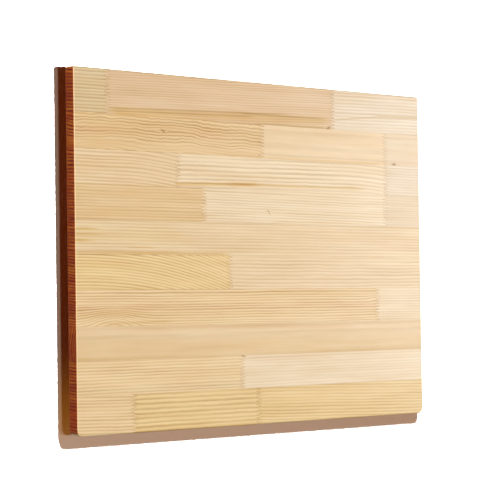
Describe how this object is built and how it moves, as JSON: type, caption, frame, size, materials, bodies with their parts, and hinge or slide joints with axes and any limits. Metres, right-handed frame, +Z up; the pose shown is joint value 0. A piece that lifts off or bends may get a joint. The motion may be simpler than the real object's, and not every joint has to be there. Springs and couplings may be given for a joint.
{
  "type": "wall mounted drop leaf table",
  "caption": "Pine table leaf that folds down flat against a wall and locks level on folding steel brackets with release levers.",
  "frame": {"origin": "centre of the four outer wall screws, on the wall's face", "axes": "+X along the wall to the right as seen from the room, +Y into the wall, +Z up; modelled folded, the leaf hanging down"},
  "size_m": [0.7, 0.048, 0.5],
  "materials": {
    "leaf_pine": "satin lacquer",
    "bracket_steel": "satin grey",
    "pin_steel": "zinc plated",
    "screw_steel": "zinc plated",
    "spring_steel": "plain",
    "lever_steel": "black",
    "lever_sleeve": "soft black",
    "washer_nylon": "natural"
  },
  "bodies": {
    "wall_side": {"left_wall_arm": "bracket_steel", "left_hinge_pin": "pin_steel", "left_hinge_bushes": "pin_steel", "left_strut_pivot_rivets": "pin_steel", "left_strut_pivot_washers": "washer_nylon", "right_wall_arm": "bracket_steel", "right_hinge_pin": "pin_steel", "right_hinge_bushes": "pin_steel", "right_strut_pivot_rivets": "pin_steel", "right_strut_pivot_washers": "washer_nylon"},
    "leaf": {"row_01_stave_1": "leaf_pine", "row_01_stave_2": "leaf_pine", "row_01_stave_3": "leaf_pine", "row_02_stave_1": "leaf_pine", "row_02_stave_2": "leaf_pine", "row_02_stave_3": "leaf_pine", "row_03_stave_1": "leaf_pine", "row_03_stave_2": "leaf_pine", "row_03_stave_3": "leaf_pine", "row_04_stave_1": "leaf_pine", "row_04_stave_2": "leaf_pine", "row_04_stave_3": "leaf_pine", "row_05_stave_1": "leaf_pine", "row_06_stave_1": "leaf_pine", "row_06_stave_2": "leaf_pine", "row_07_stave_1": "leaf_pine", "row_07_stave_2": "leaf_pine", "row_08_stave_1": "leaf_pine", "row_09_stave_1": "leaf_pine", "row_09_stave_2": "leaf_pine", "row_10_stave_1": "leaf_pine", "row_10_stave_2": "leaf_pine", "row_10_stave_3": "leaf_pine", "left_leaf_arm": "bracket_steel", "left_lever_pin": "pin_steel", "left_lever_spring": "spring_steel", "left_leaf_screws": "screw_steel", "right_leaf_arm": "bracket_steel", "right_lever_pin": "pin_steel", "right_lever_spring": "spring_steel", "right_leaf_screws": "screw_steel"},
    "left_strut": {"left_strut": "bracket_steel", "left_strut_end_rivets": "pin_steel"},
    "left_slide_pin": {"left_slide_pin": "pin_steel", "left_slide_collars": "pin_steel"},
    "left_release_lever": {"left_release_lever": "lever_steel", "left_lever_sleeve": "lever_sleeve"},
    "right_strut": {"right_strut": "bracket_steel", "right_strut_end_rivets": "pin_steel"},
    "right_slide_pin": {"right_slide_pin": "pin_steel", "right_slide_collars": "pin_steel"},
    "right_release_lever": {"right_release_lever": "lever_steel", "right_lever_sleeve": "lever_sleeve"}
  },
  "joints": [
    {"name": "leaf_fold", "type": "hinge", "parent": "wall_side", "child": "leaf", "pos_m": [0, -0.015, 0.08], "axis": [-1, 0, 0], "range_deg": [0, 90]},
    {"name": "left_strut_swing", "type": "hinge", "parent": "wall_side", "child": "left_strut", "pos_m": [-0.23, -0.015, 0.01], "axis": [-1, 0, 0], "range_deg": [0, 116.09]},
    {"name": "left_pin_slide", "type": "slide", "parent": "leaf", "child": "left_slide_pin", "axis": [0, 0, 1], "range_m": [0, 0.08622]},
    {"name": "left_lever_press", "type": "hinge", "parent": "leaf", "child": "left_release_lever", "pos_m": [-0.23, -0.024, 0.056], "axis": [-1, 0, 0], "range_deg": [0, 3], "stiffness_Nm_per_rad": 0.6, "springref_deg": -5.73},
    {"name": "right_strut_swing", "type": "hinge", "parent": "wall_side", "child": "right_strut", "pos_m": [0.23, -0.015, 0.01], "axis": [-1, 0, 0], "range_deg": [0, 116.09]},
    {"name": "right_pin_slide", "type": "slide", "parent": "leaf", "child": "right_slide_pin", "axis": [0, 0, 1], "range_m": [0, 0.08622]},
    {"name": "right_lever_press", "type": "hinge", "parent": "leaf", "child": "right_release_lever", "pos_m": [0.23, -0.024, 0.056], "axis": [-1, 0, 0], "range_deg": [0, 3], "stiffness_Nm_per_rad": 0.6, "springref_deg": -5.73}
  ],
  "couplings": [
    {"joint": "left_strut_swing", "follows": "leaf_fold", "ratio": 1.2898},
    {"joint": "left_pin_slide", "follows": "leaf_fold", "m_per_rad": 0.054886},
    {"joint": "right_strut_swing", "follows": "leaf_fold", "ratio": 1.2898},
    {"joint": "right_pin_slide", "follows": "leaf_fold", "m_per_rad": 0.054886}
  ]
}
